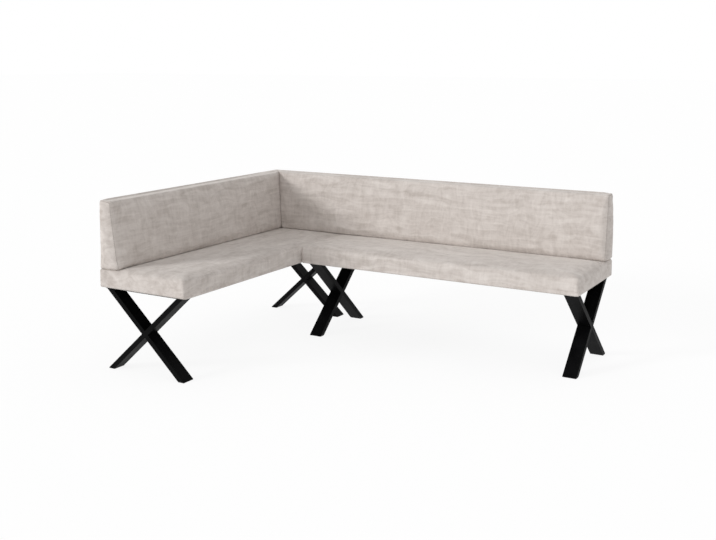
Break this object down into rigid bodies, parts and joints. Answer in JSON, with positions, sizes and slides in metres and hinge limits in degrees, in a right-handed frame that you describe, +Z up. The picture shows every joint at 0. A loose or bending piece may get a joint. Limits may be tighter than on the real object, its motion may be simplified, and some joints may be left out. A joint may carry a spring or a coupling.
{
  "type": "corner bench",
  "caption": "L-shaped upholstered dining bench with low wedge-shaped backs along both arms and crossed black steel legs.",
  "frame": {"origin": "on the floor under the middle of the bench's box", "axes": "+X along the long arm, away from the corner; +Y from the front of the short arm to the wall behind the long arm; +Z up"},
  "size_m": [2.116, 1.526, 0.842],
  "materials": {
    "upholstery": "soft brushed velvet, light greige",
    "foam": "open-cell foam, matte",
    "dust_cloth": "spun-bonded cloth, matte black",
    "black_steel": "satin black powder coat",
    "glide_plastic": "matte black",
    "spring_steel": "drawn wire and sheet, bright",
    "zinc_steel": "zinc plated",
    "thin_board": "plain board, unfinished",
    "plywood": "birch plywood, unfinished",
    "timber": "planed softwood, unfinished"
  },
  "bodies": {
    "root": {"back_bolts": "zinc_steel", "back_ribs": "timber", "connector_plates": "zinc_steel", "corner_batten": "timber", "corner_support_rail": "timber", "leg_glides": "glide_plastic", "long_back_base_board": "plywood", "long_back_batten": "timber", "long_back_cover": "upholstery", "long_back_front_panel": "thin_board", "long_back_pad": "foam", "long_back_rear_panel": "thin_board", "long_back_top_rail": "timber", "long_corner_end_rail": "timber", "long_corner_leg_board": "plywood", "long_corner_leg_lower_half_bar": "black_steel", "long_corner_leg_through_bar": "black_steel", "long_corner_leg_top_plate": "black_steel", "long_corner_leg_upper_half_bar": "black_steel", "long_dust_cover": "dust_cloth", "long_front_rail": "timber", "long_outer_end_rail": "timber", "long_outer_leg_board": "plywood", "long_outer_leg_lower_half_bar": "black_steel", "long_outer_leg_through_bar": "black_steel", "long_outer_leg_top_plate": "black_steel", "long_outer_leg_upper_half_bar": "black_steel", "long_rear_rail": "timber", "long_seat_cover": "upholstery", "long_seat_pad": "foam", "long_support_rail": "timber", "plate_screws": "zinc_steel", "seat_springs": "spring_steel", "short_back_base_board": "plywood", "short_back_batten": "timber", "short_back_cover": "upholstery", "short_back_front_panel": "thin_board", "short_back_pad": "foam", "short_back_rear_panel": "thin_board", "short_back_top_rail": "timber", "short_corner_end_rail": "timber", "short_corner_leg_board": "plywood", "short_corner_leg_lower_half_bar": "black_steel", "short_corner_leg_through_bar": "black_steel", "short_corner_leg_top_plate": "black_steel", "short_corner_leg_upper_half_bar": "black_steel", "short_dust_cover": "dust_cloth", "short_front_rail": "timber", "short_outer_end_rail": "timber", "short_outer_leg_board": "plywood", "short_outer_leg_lower_half_bar": "black_steel", "short_outer_leg_through_bar": "black_steel", "short_outer_leg_top_plate": "black_steel", "short_outer_leg_upper_half_bar": "black_steel", "short_rear_rail": "timber", "short_seat_cover": "upholstery", "short_seat_pad": "foam", "short_support_rail": "timber", "spring_clips": "spring_steel", "tee_nuts": "zinc_steel"}
  },
  "joints": []
}
